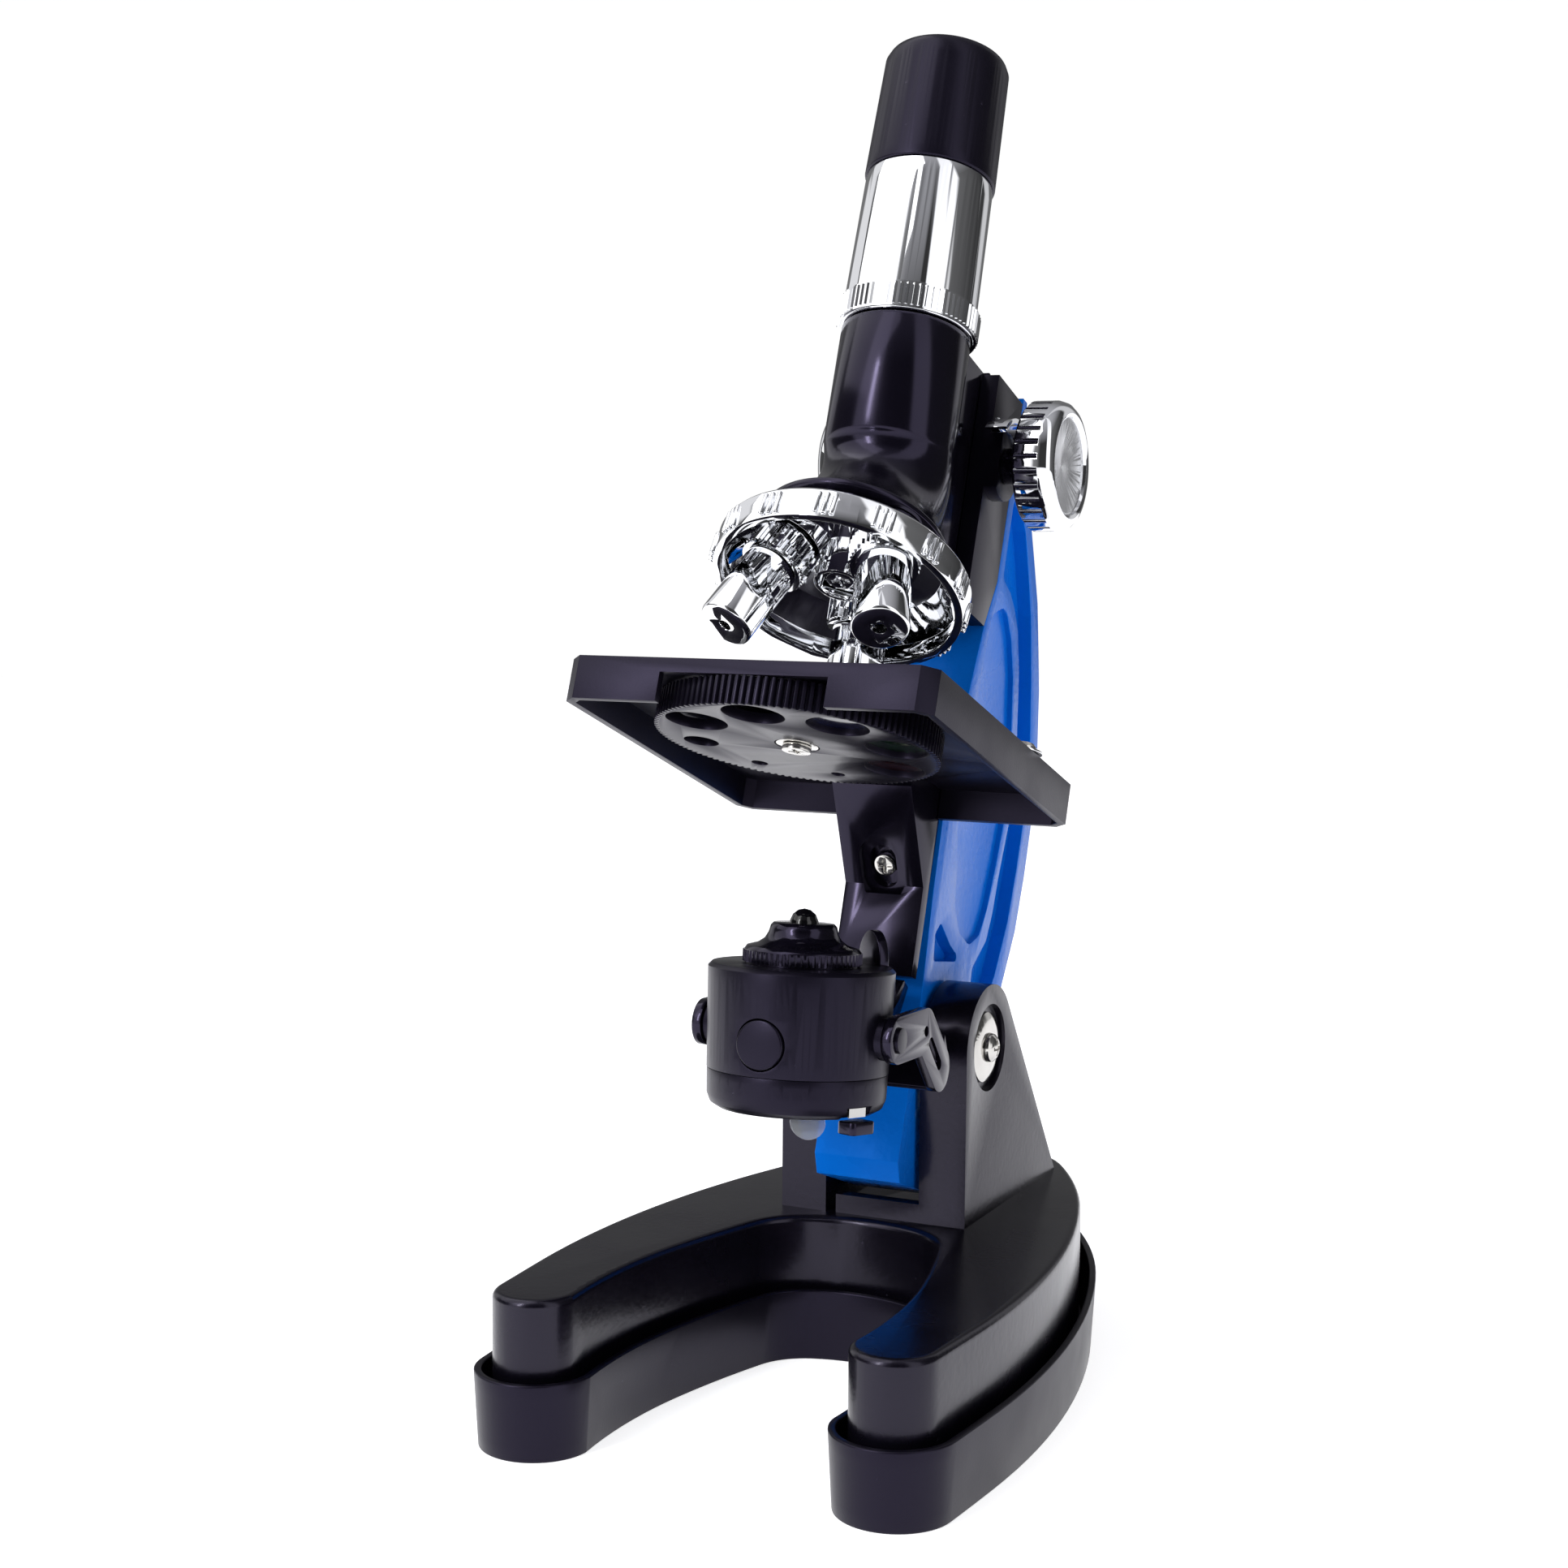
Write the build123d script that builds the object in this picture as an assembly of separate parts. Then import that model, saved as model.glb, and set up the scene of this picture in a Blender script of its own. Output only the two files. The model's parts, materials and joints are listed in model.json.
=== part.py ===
from build123d import *
import os
from math import atan2, cos, degrees, pi, radians, sin

# Tilting student microscope: horseshoe base, die-cast limb, rack focus, three-objective turret,
# draw eyepiece, box stage with a filter wheel, and a tilting lamp with a mirror underneath.
#
# Millimetres, +Z up. The origin is on the table, straight below the tilt pivot. The eyepiece
# end leans towards +Y and the open end of the horseshoe faces -Y. Everything on the limb is
# drawn upright, in the limb's own frame with the pivot at its origin, and then leaned back.

# ---------------------------------------------------------------- driving dimensions
PIVOT_Z = 70.0          # height of the tilt pivot
LEAN = 20.0             # how far the limb leans back at rest, degrees
BASE_TOP = 32.0         # top face of the cast base
TRAY_RIM = 16.0         # top of the moulded tray that the casting stands in
TRAY_FLOOR = 2.2
TRAY_WALL = 1.5
TRAY_DRAFT = 3.2        # how much the tray's walls lean outwards, degrees
EAR_OUT = 22.2          # outer face of each ear, from the middle plane
EAR_IN = 11.3
EAR_R = 14.2            # rounded top of the ear
ARM_HALF = 10.0         # half the limb's thickness
AXIS_Y = -54.5          # optical axis in the limb's frame
STAGE_TOP = 56.3
STAGE_H = 9.0
STAGE_HALF = 40.0
STAGE_FRONT = -105.7
STAGE_BACK = -17.6
SHAFT_Y = -17.3         # focus shaft in the limb's frame
SHAFT_Z = 132.0
PINION_TEETH = 16
MODULE = 0.5
TURRET_APEX_Z = 130.5   # where the objective axes meet the optical axis
TURRET_TILT = 17.0
TUBE_R = 14.4
TUBE_TOP = 147.6
SLEEVE_R = 12.6         # eyepiece sleeve that slides in the body tube
LAMP_Y = -53.5          # lamp trunnions, in the base's frame
LAMP_Z = 81.2
RUN = 0.05              # radial clearance of a running fit
GAP = 0.3               # space between pieces that move past each other

arm_frame = Location((0, 0, PIVOT_Z), (-LEAN, 0, 0))
turret_frame = arm_frame * Location((0, AXIS_Y, TURRET_APEX_Z), (-TURRET_TILT, 0, 0))
across = Rot(0, 90, 0)  # turns a cylinder's axis from Z to X


def rod_x(radius, half_length, y, z, x=0.0):
    """A cylinder lying along X."""
    return Pos(x, y, z) * across * Cylinder(radius, 2 * half_length)


def ring(outer, inner, height, z=0.0):
    """A plain ring standing on height z."""
    body = Pos(0, 0, z + height / 2) * Cylinder(outer, height)
    return body - Pos(0, 0, z + height / 2) * Cylinder(inner, height + 2)


def box(x0, x1, y0, y1, z0, z1):
    """A box from its lowest corner to its highest."""
    return Pos((x0 + x1) / 2, (y0 + y1) / 2, (z0 + z1) / 2) * Box(x1 - x0, y1 - y0, z1 - z0)


def side_profile(points, half_width, x=0.0, rounding=0.0):
    """A closed outline in the YZ plane, thickened both ways along X, its outward corners rounded."""
    face = make_face(Polyline(*points, close=True))
    if rounding:
        face = offset(offset(face, -rounding), rounding)
    return Pos(x, 0, 0) * extrude(Plane.YZ * face, half_width, both=True)


def turned(points):
    """A solid of revolution about Z from an outline of (radius, height) points."""
    return revolve(Plane.XZ * make_face(Polyline(*points, close=True)), Axis.Z)


def around(shape, count, start=0.0):
    """Copies of a shape spaced evenly about Z."""
    return [Rot(0, 0, start + 360.0 * i / count) * shape for i in range(count)]


# ---------------------------------------------------------------- base
def arc_chain(nodes, tangent):
    """Arcs from node to node, each starting in the direction in which the last one ended."""
    arcs = []
    for start, end in zip(nodes[:-1], nodes[1:]):
        arcs.append(TangentArc(start, end, tangent=tangent))
        tangent = arcs[-1] % 1
    return arcs


def horseshoe():
    """The base's outline: two rounded legs to the front, a rounded heel at the back."""
    heel, crotch = (0, 63.8), (0, -17.2)
    tip_out, tip_in = (48.2, -94.0), (30.2, -94.0)
    outer = arc_chain([heel, (22.8, 51.2), (37.9, 19.1), (48.5, -28.0), (49.7, -75.8), tip_out, tip_in], (1, 0))
    inner = arc_chain([crotch, (11.7, -19.2), (21.8, -29.6), (28.7, -56.9), tip_in], (1, 0))
    half = make_face([*outer, *inner, Line(heel, crotch)])
    return half + mirror(half, Plane.YZ)


RECESS = 1.6            # depth of the washer's seat in each ear
SCREW_PLACES = [(40.0, -84.0), (-40.0, -84.0), (0.0, 47.0)]


def base_casting():
    """Hollow cast horseshoe with two ears and a low wall between them."""
    skirt = TRAY_FLOOR
    body = Pos(0, 0, skirt) * extrude(horseshoe(), BASE_TOP - skirt)
    top_edges = body.edges().group_by(Axis.Z)[-1]
    body = fillet(top_edges, 1.6)
    wall = 4.0
    cavity = Pos(0, 0, skirt - 1) * extrude(offset(horseshoe(), -wall), BASE_TOP - skirt - 3.5)
    body = body - cavity
    posts = [Pos(x, y, (skirt + BASE_TOP - 3) / 2) * Cylinder(4.2, BASE_TOP - 3 - skirt) for x, y in SCREW_PLACES]
    body = body + posts
    pilots = [Pos(x, y, skirt + 7) * Cylinder(1.35, 16) for x, y in SCREW_PLACES]
    body = body - pilots
    back_y, back_z = EAR_R * 0.795, PIVOT_Z + EAR_R * 0.607   # where the back slope leaves the round top
    ear_outline = Plane.YZ * make_face([
        Line((-EAR_R, BASE_TOP - 4), (-EAR_R, PIVOT_Z)),
        ThreePointArc((-EAR_R, PIVOT_Z), (0, PIVOT_Z + EAR_R), (back_y, back_z)),
        Line((back_y, back_z), (45.8, BASE_TOP)),
        Line((45.8, BASE_TOP), (45.8, BASE_TOP - 4)),
        Line((45.8, BASE_TOP - 4), (-EAR_R, BASE_TOP - 4)),
    ])
    thick = EAR_OUT - EAR_IN
    ear = extrude(ear_outline, thick / 2, both=True)
    for side in (1, -1):
        body += Pos(side * (EAR_IN + thick / 2), 0, 0) * ear
    body += box(-EAR_IN + 2.5, EAR_IN + 1, -EAR_R, -EAR_R + 3.2, BASE_TOP - 4, BASE_TOP + 4.2)
    for side in (1, -1):
        body -= rod_x(9.8, RECESS, 0, PIVOT_Z, side * EAR_OUT)
    body -= rod_x(PIVOT_BUSH_R + RUN, EAR_OUT, 0, PIVOT_Z)
    return body


def base_tray():
    """Shallow moulded tray with leaning walls that the casting is screwed down into."""
    outer = extrude(offset(horseshoe(), 2.9), TRAY_RIM, taper=-TRAY_DRAFT)
    inner = Pos(0, 0, TRAY_FLOOR) * extrude(offset(horseshoe(), 2.9 - TRAY_WALL), TRAY_RIM, taper=-TRAY_DRAFT)
    tray = outer - inner
    for x, y in SCREW_PLACES:
        tray -= Pos(x, y, 1) * Cylinder(1.7, 6)
        tray -= Pos(x, y, 0.6) * Cylinder(3.3, 1.4)
    return tray


def base_screws():
    """Three pan-head screws from below, heads sunk in the tray's floor."""
    shank = Pos(0, 0, 6.5) * Cylinder(1.35, 10.6)
    head = Pos(0, 0, 0.85) * Cylinder(3.0, 0.8)
    screw = head + shank - Pos(0, 0, 0.5) * (Box(3.2, 0.7, 0.5) + Box(0.7, 3.2, 0.5))
    return [Pos(x, y, 0) * screw for x, y in SCREW_PLACES]


# ---------------------------------------------------------------- tilt pivot
PIVOT_BUSH_R = 4.0


def pivot_bush():
    """Steel tube that the limb turns on, clamped between the two ears."""
    half = EAR_OUT - RECESS - 0.2
    return rod_x(PIVOT_BUSH_R, half, 0, PIVOT_Z) - rod_x(1.6, half + 1, 0, PIVOT_Z)


def pivot_washers():
    """Domed washers in the two ear recesses."""
    dome = turned([(2.2, 0), (7.9, 0), (7.9, 0.7), (6.0, 1.3), (2.2, 1.5)])
    seat = EAR_OUT - RECESS + 0.02
    right = Pos(seat, 0, PIVOT_Z) * across * dome
    return [right, mirror(right, Plane.YZ)]


def pivot_screws():
    """Round-head screws that draw the washers and the bush together."""
    head = turned([(0, 0), (3.3, 0), (3.1, 0.8), (2.2, 1.6), (1.0, 2.0), (0, 2.1)])
    head -= Pos(0, 0, 2.1) * (Box(3.6, 0.8, 1.4) + Box(0.8, 3.6, 1.4))
    shank = Pos(0, 0, -6) * Cylinder(1.6, 12)
    right = Pos(EAR_OUT - 0.05, 0, PIVOT_Z) * across * (head + shank)
    return [right, mirror(right, Plane.YZ)]


def friction_washers():
    """Fibre washers that make the limb stay where it is tilted."""
    washer = rod_x(8.0, (EAR_IN - ARM_HALF) / 2 - 0.02, 0, 0, (EAR_IN + ARM_HALF) / 2)
    washer -= rod_x(PIVOT_BUSH_R + RUN, EAR_OUT, 0, 0)
    pair = [washer, mirror(washer, Plane.YZ)]
    return [arm_frame * piece for piece in pair]


# ---------------------------------------------------------------- limb
def limb():
    """Die-cast C-shaped limb: thin web, raised back flange, a loop rib and a pivot boss."""
    front = [(-11.5, -33.2), (-14.3, -29), (-14.4, 7), (-16.4, 31), (-17.4, 57), (-13.5, 74), (-9.0, 96)]
    top = [(-4.6, 108), (-4.6, 154.6), (-1.8, 154.6)]
    back = [(-0.3, 146), (2.0, 135), (11.5, 130), (17.5, 122), (24.0, 113), (29.0, 103), (33.5, 93.5),
            (38.6, 78), (40.8, 60.5), (40.8, 48), (39.6, 34), (35.2, 18.8), (26.0, 4.0), (13.5, -11), (11.5, -33.2)]
    body = side_profile(front + top + back, ARM_HALF)
    channel = [(-1.2, 131), (3.6, 130.2), (9.0, 126), (14.5, 118), (20.5, 108.5), (26.5, 95), (32.0, 80),
               (34.9, 61), (34.6, 48), (33.4, 35), (29.5, 21), (22.5, 9.0), (15.0, 9.5), (14.2, 20.0),
               (20.8, 27.8), (22.5, 35), (23.2, 44), (25.2, 57), (24.0, 74), (18.0, 93), (13.4, 102),
               (9.0, 106.4), (4.8, 109), (-1.2, 110.4)]
    pad = [(-5.0, 100), (3.0, 105), (9.4, 99), (14.2, 91), (19.6, 74), (21.6, 57), (20.4, 47), (18.3, 35),
           (15.6, 28), (10.1, 24.6), (2.8, 26), (-2.2, 31), (-4.2, 40), (-7.2, 48), (-8.4, 66), (-6.2, 84)]
    corner = [(-9.2, 25.6), (-11.6, 22.6), (-10.4, 16.6), (6.6, 20.0), (-1.5, 22.0)]
    for side in (1, -1):
        body -= side_profile(channel, 1.75, side * (ARM_HALF - 1.7), rounding=2.0)
        body -= side_profile(pad, 0.7, side * (ARM_HALF - 0.65), rounding=4.0)
        body -= side_profile(corner, 1.5, side * (ARM_HALF - 1.45), rounding=1.0)
    body -= rod_x(PIVOT_BUSH_R + RUN, EAR_OUT, 0, 0)
    return arm_frame * body


# ---------------------------------------------------------------- stage and its support
STAGE_BOTTOM = STAGE_TOP - STAGE_H
STAGE_PLATE = 2.4
WHEEL_PITCH = 22.0
WHEEL_R = 29.6
WHEEL_Y = AXIS_Y - WHEEL_PITCH
WHEEL_H = 5.8
STATIONS = 8
CLIP_STUD = (36.6, -44.0)


STAGE_SCREW = (5.5, -27.0)
GUSSET_FACE = Location((0, -23.7, 34.1), (38.8, 0, 0))   # local -Y points out of the sloping face


def stage_bracket():
    """Black gusset on the limb's front that carries the stage and, lower down, the lamp."""
    under_plate = STAGE_TOP - STAGE_PLATE
    outline = [(-17.8, 11), (-20.6, 11), (-21.2, 31), (-36.5, 50), (-36.5, under_plate), (-17.8, under_plate)]
    body = side_profile(outline, 9.4)
    slope = GUSSET_FACE
    body -= slope * Rot(90, 0, 0) * extrude(SlotOverall(15.5, 10.2, rotation=90), 1.2, both=True)
    body -= slope * Rot(90, 0, 0) * extrude(SlotOverall(10.4, 6.2, rotation=90), 3.4, both=True)
    body -= slope * Rot(90, 0, 0) * Cylinder(1.6, 30)
    for side in (1, -1):
        body -= Pos(side * STAGE_SCREW[0], STAGE_SCREW[1], under_plate) * Cylinder(1.4, 12)
    return arm_frame * body


def bracket_screw():
    """Cross-head screw in the gusset's slot."""
    head = Cylinder(2.5, 1.8) - Pos(0, 0, 0.9) * (Box(3.4, 0.8, 1.2) + Box(0.8, 3.4, 1.2))
    screw = head + Pos(0, 0, -2.2) * Cylinder(1.5, 2.8)
    return arm_frame * GUSSET_FACE * Rot(90, 0, 0) * Pos(0, 0, -2.48) * screw


def stage():
    """Box stage, open underneath, with a light hole and a front notch for the wheel's rim."""
    outline = Pos(0, (STAGE_FRONT + STAGE_BACK) / 2) * Rectangle(2 * STAGE_HALF, STAGE_BACK - STAGE_FRONT)
    outline = chamfer(outline.vertices(), 3.0)
    shell = Pos(0, 0, STAGE_BOTTOM) * extrude(outline, STAGE_H)
    inner = Pos(0, 0, STAGE_BOTTOM - 1) * extrude(offset(outline, -1.8), STAGE_H + 1 - STAGE_PLATE)
    shell = shell - inner
    shell -= box(-18.2, 18.2, STAGE_FRONT - 1, STAGE_FRONT + 4, STAGE_BOTTOM - 1, STAGE_TOP - 3.0)
    shell -= Pos(0, AXIS_Y, STAGE_TOP) * Cylinder(5.0, 3 * STAGE_PLATE)
    under = STAGE_TOP - STAGE_PLATE
    shell += Pos(0, WHEEL_Y, under - 0.25) * Cylinder(5.5, 0.7)
    shell -= Pos(0, WHEEL_Y, under) * Cylinder(1.3, 3)
    shell -= box(-9.6, 9.6, STAGE_BACK - 3, STAGE_BACK + 1, STAGE_BOTTOM - 1, under)
    for side in (1, -1):
        shell -= Pos(side * CLIP_STUD[0], CLIP_STUD[1], under) * Cylinder(1.5, 8)
        shell -= Pos(side * STAGE_SCREW[0], STAGE_SCREW[1], STAGE_TOP) * (countersink() + Cylinder(1.5, 8))
    return arm_frame * shell


def countersink():
    """Cone of a countersunk head, its top face at the origin."""
    return turned([(0, 0), (0.0, -1.7), (1.4, -1.7), (2.9, 0)])


def stage_screws():
    """Two countersunk screws that hold the stage down on the gusset."""
    head = countersink()
    head -= Box(3.0, 0.7, 1.0) + Box(0.7, 3.0, 1.0)
    screw = head + Pos(0, 0, -4.8) * Cylinder(1.4, 6.4)
    return [arm_frame * Pos(side * STAGE_SCREW[0], STAGE_SCREW[1], STAGE_TOP) * screw for side in (1, -1)]


def wheel_disc():
    """Filter wheel: a milled rim, a thin web and eight light stations."""
    base = STAGE_BOTTOM
    teeth = 120
    rim_points = []
    for i in range(teeth):
        for part, radius in ((0.0, WHEEL_R - 0.9), (0.2, WHEEL_R), (0.6, WHEEL_R), (0.8, WHEEL_R - 0.9)):
            angle = radians(360.0 * (i + part) / teeth)
            rim_points.append((radius * cos(angle), radius * sin(angle)))
    body = extrude(make_face(Polyline(*rim_points, close=True)), WHEEL_H)
    body -= Pos(0, 0, 2.2 + WHEEL_H / 2) * Cylinder(WHEEL_R - 2.0, WHEEL_H)
    body += Pos(0, 0, WHEEL_H / 2) * Cylinder(5.0, WHEEL_H)
    body -= Cylinder(1.6 + RUN, 3 * WHEEL_H)
    for i, radius in enumerate(STATION_RADII):
        body -= station(i) * Cylinder(radius, 3 * WHEEL_H)
    body -= Cylinder(4.7, 1.2)
    return body, base


STATION_RADII = [1.5, 6.4, 6.4, 6.4, 6.4, 6.4, 3.7, 1.8]  # smallest hole in the light path at rest
FILTER_STATIONS = {"red_filter": 1, "green_filter": 2, "blue_filter": 3}


def station(i):
    """Where light station i is on the wheel; station 0 is at the back, under the objective."""
    angle = radians(90.0 - 360.0 * i / STATIONS)
    return Pos(WHEEL_PITCH * cos(angle), WHEEL_PITCH * sin(angle), 0)


def filter_wheel():
    disc, base = wheel_disc()
    return arm_frame * Pos(0, WHEEL_Y, base) * disc


def colour_filter(i):
    """Thin tinted disc laid in a light station's web."""
    disc = Pos(0, 0, 2.2 - 0.45) * Cylinder(6.4, 0.8)
    return arm_frame * Pos(0, WHEEL_Y, STAGE_BOTTOM) * station(i) * disc


def wheel_screw():
    """Shoulder screw that the filter wheel turns on, from below into the stage."""
    screw = Pos(0, 0, -0.7) * Cylinder(3.0, 1.2) + Pos(0, 0, 2.92) * Cylinder(1.6, 6.04)
    screw += Pos(0, 0, 6.9) * Cylinder(1.3, 2.0)
    screw -= Pos(0, 0, -1.2) * (Box(3.4, 0.8, 1.0) + Box(0.8, 3.4, 1.0))
    return arm_frame * Pos(0, WHEEL_Y, STAGE_BOTTOM) * screw


def wheel_washer():
    """Thin spring washer under the wheel screw's head."""
    washer = ring(4.4, 1.75, 0.4, 0.05)
    return arm_frame * Pos(0, WHEEL_Y, STAGE_BOTTOM) * washer


def stage_clip(side):
    """Bent spring strip that holds a slide down; turns on its stud."""
    strip = [(0, 0.3), (4.5, 0.3), (9, 0.9), (33, 0.5), (36, 0.35), (39, 0.9), (39.2, 1.3), (36, 0.85),
             (33, 1.0), (9, 1.4), (4.5, 0.8), (0, 0.8)]
    profile = [(-y, z) for y, z in strip]
    body = side_profile(profile, 3.2) + Pos(0, 0, 0.55) * Cylinder(4.2, 0.5)
    body -= Cylinder(1.55, 6)
    place = Pos(side * CLIP_STUD[0], CLIP_STUD[1], STAGE_TOP) * Rot(0, 0, -side * CLIP_REST)
    return arm_frame * place * body


CLIP_REST = 28.0         # how far each clip points inwards at rest, degrees


def clip_studs():
    """Headed studs that the two clips turn on."""
    stud = Pos(0, 0, -0.9) * Cylinder(1.45, 4.2) + turned([(0, 0.95), (2.9, 0.95), (2.9, 1.5), (2.1, 2.4), (0, 2.8)])
    return [arm_frame * Pos(side * CLIP_STUD[0], CLIP_STUD[1], STAGE_TOP) * stud for side in (1, -1)]


# ---------------------------------------------------------------- focus: housing, rack and pinion
HOUSING_FRONT = -21.8
HOUSING_BACK = -4.7
HOUSING_Z = (96.0, 153.0)
HOUSING_SCREW_Z = (112.0, 146.0)
FOOT_BACK = -19.6
PITCH_R = MODULE * PINION_TEETH / 2
KNOB_R = 14.9
KNOB_X = (19.6, 29.0)


def focus_housing():
    """Black guide block on the limb's front with a T-slot for the tube slide."""
    z0, z1 = HOUSING_Z
    body = box(-10, 10, HOUSING_FRONT, HOUSING_BACK, z0, z1)
    body -= side_profile([(0, 90), (0, 108.3), (HOUSING_BACK, 108.3), (-9.15, 95.8), (-9.15, 90)], 12)
    body -= box(-5.8, 5.8, HOUSING_FRONT - 1, FOOT_BACK, z0 - 1, z1 + 1)
    body -= box(-7.3, 7.3, HOUSING_FRONT + 0.8, FOOT_BACK + GAP, z0 - 1, z1 + 1)
    body -= rod_x(PITCH_R + 1.2, 3.6, SHAFT_Y, SHAFT_Z)
    body -= rod_x(2.0 + RUN, 30, SHAFT_Y, SHAFT_Z)
    for side in (1, -1):
        boss = rod_x(8.0, 1.5, SHAFT_Y, SHAFT_Z, side * 11.5) - rod_x(2.0 + RUN, 30, SHAFT_Y, SHAFT_Z)
        body += boss - box(-20, 20, -40, HOUSING_FRONT, 100, 160)
    for z in HOUSING_SCREW_Z:
        body -= Pos(0, HOUSING_BACK - 4, z) * Rot(90, 0, 0) * Cylinder(1.3, 8.2)
    return arm_frame * body


def housing_screws():
    """Two studs in the housing's back that hold it to the limb."""
    screw = Pos(0, HOUSING_BACK - 4, 0) * Rot(90, 0, 0) * Cylinder(1.3, 7.8)
    return [arm_frame * Pos(0, 0, z) * screw for z in HOUSING_SCREW_Z]


def shaft_bushes():
    """Black hubs between the housing bosses and the knobs."""
    x0, x1 = 13.1, KNOB_X[0] - 0.3
    bush = rod_x(4.2, (x1 - x0) / 2, SHAFT_Y, SHAFT_Z, (x0 + x1) / 2) - rod_x(2.0 + RUN, 30, SHAFT_Y, SHAFT_Z)
    return [arm_frame * bush, arm_frame * mirror(bush, Plane.YZ)]


def shaft_straps():
    """Bent plated straps over the bosses, one each side."""
    strap = rod_x(11.0, 2.6, SHAFT_Y, SHAFT_Z, 12.8) - rod_x(9.9, 4, SHAFT_Y, SHAFT_Z, 12.8)
    strap -= box(0, 30, -60, 20, SHAFT_Z - 20, SHAFT_Z + 6.0)
    strap += box(10.2, 11.2, SHAFT_Y - 4, SHAFT_Y + 4, SHAFT_Z + 8.05, SHAFT_Z + 10.6)
    return [arm_frame * strap, arm_frame * mirror(strap, Plane.YZ)]


def gear_outline(teeth, module):
    """Straight-flanked teeth about a pitch circle: near enough to a fine focus pinion."""
    pitch = module * teeth / 2
    points = []
    for i in range(teeth):
        for part, radius in ((-0.31, pitch - 1.1 * module), (-0.12, pitch + 0.6 * module),
                             (0.12, pitch + 0.6 * module), (0.31, pitch - 1.1 * module)):
            angle = radians(360.0 * (i + part) / teeth)
            points.append((radius * cos(angle), radius * sin(angle)))
    return make_face(Polyline(*points, close=True))


def focus_pinion():
    """Pinion on the middle of the focus shaft, in mesh with the rack."""
    gear = extrude(gear_outline(PINION_TEETH, MODULE), 2.9, both=True)
    gear = Pos(0, SHAFT_Y, SHAFT_Z) * across * gear
    return arm_frame * (gear - rod_x(2.0, 30, SHAFT_Y, SHAFT_Z))


def focus_shaft():
    """Steel shaft through the housing, with a knob on each end."""
    return arm_frame * rod_x(2.0, 25.3, SHAFT_Y, SHAFT_Z)


def focus_knob(side):
    """Plated knob with a fluted rim and a dished face."""
    x0, x1 = KNOB_X
    depth = x1 - x0
    outline = [(0, 0), (KNOB_R - 0.9, 0), (KNOB_R, 0.9), (KNOB_R, depth - 3.2), (KNOB_R - 0.6, depth - 1.4),
               (KNOB_R - 1.7, depth - 0.35), (KNOB_R - 2.9, depth), (KNOB_R - 3.7, depth - 0.3), (11.0, depth - 1.0),
               (10.7, depth - 0.9), (4.5, depth - 2.2), (0, depth - 2.6)]
    knob = turned(outline)
    flute = Pos(KNOB_R + 0.05, 0, depth / 2 - 1.8) * Cylinder(0.6, depth - 3.0)
    knob = knob - around(flute, 28)
    knob -= Pos(0, 0, 2.9) * Cylinder(2.0, 5.9)
    knob = Pos(x0, SHAFT_Y, SHAFT_Z) * across * knob
    return arm_frame * (knob if side > 0 else mirror(knob, Plane.YZ))


RACK_Y = SHAFT_Y - PITCH_R
RACK_Z = (103.0, 151.0)


def focus_rack():
    """Toothed strip let into the back of the tube slide."""
    pitch = pi * MODULE
    z0, z1 = RACK_Z
    root, tip = RACK_Y - 1.1 * MODULE, RACK_Y + 0.6 * MODULE
    below, above = int((SHAFT_Z - z0) / pitch), int((z1 - SHAFT_Z) / pitch)
    points = [(root - 1.0, z0), (root, z0)]
    for i in range(-below, above - 1):
        centre = SHAFT_Z + (i + 0.5) * pitch
        points += [(root, centre - 0.31 * pitch), (tip, centre - 0.13 * pitch),
                   (tip, centre + 0.13 * pitch), (root, centre + 0.31 * pitch)]
    points += [(root, z1), (root - 1.0, z1)]
    return arm_frame * side_profile(points, 2.6)


def tube_slide():
    """Slide that joins the body tube to the housing, with a T-shaped foot."""
    z0, z1 = 104.0, 154.2
    body = box(-5.5, 5.5, -41.5, FOOT_BACK - 1.2 + 0.3, z0, z1)
    body += box(-7.0, 7.0, FOOT_BACK - 1.0, FOOT_BACK, z0, z1)
    body -= box(-3.4, 3.4, RACK_Y - 1.1 * MODULE - 1.0, FOOT_BACK + 1, z0 - 1, z1 + 1)
    body -= Pos(0, AXIS_Y, 128) * Cylinder(TUBE_R, 80)
    body -= tube_flare()
    body -= Pos(0, AXIS_Y, TUBE_TOP + 20) * Cylinder(16.4, 40)
    return arm_frame * body


# ---------------------------------------------------------------- optical tube
FLARE_Z = 121.0
turret_tilt = Location((0, AXIS_Y, TURRET_APEX_Z), (-TURRET_TILT, 0, 0))


def tube_flare():
    """Solid flare below the straight tube, down to the plate behind the turret."""
    plate_z = DISH_TOP + GAP
    sections = [turret_tilt * Pos(0, 0, plate_z + 1.2) * Circle(20.6),
                turret_tilt * Pos(0, 1.6, plate_z + 5.0) * Circle(17.4),
                turret_tilt * Pos(0, 4.4, plate_z + 11.0) * Circle(15.2),
                Location((0, AXIS_Y, FLARE_Z)) * Circle(TUBE_R)]
    return loft(sections) + turret_tilt * Pos(0, 0, plate_z + 0.6) * Cylinder(20.6, 1.2)


def body_tube():
    """Moulded body tube, flaring forwards into a round plate that carries the turret."""
    body = Pos(0, AXIS_Y, (FLARE_Z + TUBE_TOP) / 2) * Cylinder(TUBE_R, TUBE_TOP - FLARE_Z) + tube_flare()
    bore_floor = 120.0
    body -= Pos(0, AXIS_Y, (bore_floor + TUBE_TOP) / 2 + 1) * Cylinder(SLEEVE_R + RUN, TUBE_TOP - bore_floor + 2)
    body -= Pos(0, AXIS_Y, 108) * Cylinder(4.6, 50)
    body -= turret_tilt * Pos(0, 0, -32) * Cylinder(1.5, 14)
    body -= turret_tilt * Pos(0, DETENT_R, DISH_TOP + 1.9) * Cylinder(1.3, 6)
    return arm_frame * body


DETENT_R = -12.0


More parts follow.
